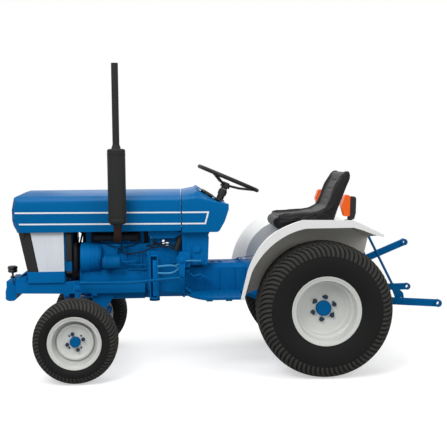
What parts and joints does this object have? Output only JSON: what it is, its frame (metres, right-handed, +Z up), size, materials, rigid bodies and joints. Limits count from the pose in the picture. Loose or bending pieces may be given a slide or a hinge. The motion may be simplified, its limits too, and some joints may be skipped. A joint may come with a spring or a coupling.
{
  "type": "compact tractor",
  "caption": "Compact two-wheel-drive tractor with tilting bonnet, open operator's seat, steered front axle and rear three-point linkage.",
  "frame": {"origin": "bottom centre of the bounding box, on the ground", "axes": "+X forward along the longest extent, +Y to the driver's left, +Z up"},
  "size_m": [2.7751, 1.178, 1.92],
  "materials": {
    "blue": "gloss",
    "hood_blue": "gloss",
    "white": "gloss",
    "wheel_grey": "satin",
    "panel_grey": "satin",
    "black": "satin",
    "black_plastic": "matte",
    "tyre": "matte",
    "iron_blue": "satin",
    "exhaust": "matte",
    "rust": "matte",
    "steel": "satin",
    "seat": "matte",
    "amber": "gloss",
    "lamp": "gloss",
    "dial": "gloss"
  },
  "bodies": {
    "chassis": {"front_frame": "iron_blue", "front_bumper": "iron_blue", "tow_pin": "black", "front_axle": "iron_blue", "engine_block": "iron_blue", "cylinder_head": "iron_blue", "exhaust_manifold": "rust", "exhaust_stack": "exhaust", "engine_ancillaries": "iron_blue", "oil_filter": "blue", "air_cleaner": "black", "radiator": "blue", "battery": "black_plastic", "grille": "black_plastic", "side_panels": "panel_grey", "cowl": "hood_blue", "instrument_panel": "dial", "dash_pedestal": "iron_blue", "steering_column": "black", "gearbox": "iron_blue", "rear_axle": "iron_blue", "lift_housing": "iron_blue", "drawbar": "blue", "fender_left": "white", "fender_right": "white", "fender_lamps": "black_plastic", "lamp_lenses": "amber", "seat": "seat", "seat_bracket": "black", "footboards": "blue", "pedals": "black", "levers": "black"},
    "bonnet": {"hood": "hood_blue", "headlamps": "lamp"},
    "fan": {"fan": "black_plastic"},
    "pto_shaft": {"pto_shaft": "steel"},
    "knuckle_left": {"knuckle_left": "iron_blue"},
    "knuckle_right": {"knuckle_right": "iron_blue"},
    "tie_rod": {"tie_rod": "blue"},
    "drag_link": {"drag_link": "blue"},
    "pitman_arm": {"pitman_arm": "iron_blue"},
    "steering_wheel": {"steering_wheel": "black_plastic"},
    "lift_arms": {"lift_arms": "iron_blue"},
    "lift_rod_left": {"lift_rod_left": "blue"},
    "lift_rod_right": {"lift_rod_right": "blue"},
    "lower_link_left": {"lower_link_left": "blue"},
    "lower_link_right": {"lower_link_right": "blue"},
    "top_link": {"top_link": "blue"},
    "front_wheel_left": {"front_tyre_left": "tyre", "front_rim_left": "wheel_grey", "front_hub_left": "blue"},
    "front_wheel_right": {"front_tyre_right": "tyre", "front_rim_right": "wheel_grey", "front_hub_right": "blue"},
    "rear_wheel_left": {"rear_tyre_left": "tyre", "rear_rim_left": "wheel_grey", "rear_hub_left": "blue"},
    "rear_wheel_right": {"rear_tyre_right": "tyre", "rear_rim_right": "wheel_grey", "rear_hub_right": "blue"}
  },
  "joints": [
    {"name": "hood_tilt", "type": "hinge", "parent": "chassis", "child": "bonnet", "pos_m": [1.247, 0, 0.866], "axis": [0, 1, 0], "range_deg": [0, 60]},
    {"name": "fan_spin", "type": "hinge", "parent": "chassis", "child": "fan", "pos_m": [0.935, 0, 0.758], "axis": [1, 0, 0], "continuous": true},
    {"name": "pto_spin", "type": "hinge", "parent": "chassis", "child": "pto_shaft", "pos_m": [-0.835, 0, 0.47], "axis": [1, 0, 0], "continuous": true},
    {"name": "steer_left", "type": "hinge", "parent": "chassis", "child": "knuckle_left", "pos_m": [0.895, 0.335, 0.255], "axis": [0, 0, 1], "range_deg": [-40, 40]},
    {"name": "steer_right", "type": "hinge", "parent": "chassis", "child": "knuckle_right", "pos_m": [0.895, -0.335, 0.255], "axis": [0, 0, 1], "range_deg": [-40, 40]},
    {"name": "tie_rod_pivot", "type": "hinge", "parent": "knuckle_left", "child": "tie_rod", "pos_m": [0.755, 0.335, 0.295], "axis": [0, 0, 1], "range_deg": [-40, 40]},
    {"name": "drag_link_pivot", "type": "hinge", "parent": "knuckle_left", "child": "drag_link", "pos_m": [0.899, 0.277, 0.573], "axis": [0, 0, 1], "range_deg": [-40, 40]},
    {"name": "pitman_pivot", "type": "hinge", "parent": "chassis", "child": "pitman_arm", "pos_m": [0.251, 0.25, 0.702], "axis": [0, 1, 0], "range_deg": [-21, 21]},
    {"name": "steering_wheel_turn", "type": "hinge", "parent": "chassis", "child": "steering_wheel", "pos_m": [-0.04176, 0, 1.1566], "axis": [-0.3971, 0, 0.9178], "range_deg": [-320, 320]},
    {"name": "lift_arms_swing", "type": "hinge", "parent": "chassis", "child": "lift_arms", "pos_m": [-0.71, 0, 0.79], "axis": [0, 1, 0], "range_deg": [-20, 35]},
    {"name": "top_link_swing", "type": "hinge", "parent": "chassis", "child": "top_link", "pos_m": [-0.815, 0, 0.594], "axis": [0, 1, 0], "range_deg": [-20, 25]},
    {"name": "lower_link_left_swing", "type": "hinge", "parent": "chassis", "child": "lower_link_left", "pos_m": [-0.74, 0.193, 0.432], "axis": [0, 1, 0], "range_deg": [-12.96, 22.68]},
    {"name": "lift_rod_left_swing", "type": "hinge", "parent": "lift_arms", "child": "lift_rod_left", "pos_m": [-0.94, 0.213, 0.85], "axis": [0, 1, 0], "range_deg": [-28.7, 16.4]},
    {"name": "front_wheel_left_spin", "type": "hinge", "parent": "knuckle_left", "child": "front_wheel_left", "pos_m": [0.895, 0.48, 0.255], "axis": [0, 1, 0], "continuous": true},
    {"name": "rear_wheel_left_spin", "type": "hinge", "parent": "chassis", "child": "rear_wheel_left", "pos_m": [-0.615, 0.434, 0.415], "axis": [0, 1, 0], "continuous": true},
    {"name": "lower_link_right_swing", "type": "hinge", "parent": "chassis", "child": "lower_link_right", "pos_m": [-0.74, -0.193, 0.432], "axis": [0, 1, 0], "range_deg": [-12.96, 22.68]},
    {"name": "lift_rod_right_swing", "type": "hinge", "parent": "lift_arms", "child": "lift_rod_right", "pos_m": [-0.94, -0.213, 0.85], "axis": [0, 1, 0], "range_deg": [-28.7, 16.4]},
    {"name": "front_wheel_right_spin", "type": "hinge", "parent": "knuckle_right", "child": "front_wheel_right", "pos_m": [0.895, -0.48, 0.255], "axis": [0, 1, 0], "continuous": true},
    {"name": "rear_wheel_right_spin", "type": "hinge", "parent": "chassis", "child": "rear_wheel_right", "pos_m": [-0.615, -0.434, 0.415], "axis": [0, 1, 0], "continuous": true}
  ],
  "couplings": [
    {"joint": "steer_right", "follows": "steer_left", "ratio": 1},
    {"joint": "tie_rod_pivot", "follows": "steer_left", "ratio": -1},
    {"joint": "drag_link_pivot", "follows": "steer_left", "ratio": -1},
    {"joint": "pitman_pivot", "follows": "steer_left", "ratio": -0.495},
    {"joint": "steering_wheel_turn", "follows": "steer_left", "ratio": 8},
    {"joint": "lower_link_left_swing", "follows": "lift_arms_swing", "ratio": 0.648},
    {"joint": "lift_rod_left_swing", "follows": "lift_arms_swing", "ratio": -0.82},
    {"joint": "lower_link_right_swing", "follows": "lift_arms_swing", "ratio": 0.648},
    {"joint": "lift_rod_right_swing", "follows": "lift_arms_swing", "ratio": -0.82}
  ]
}
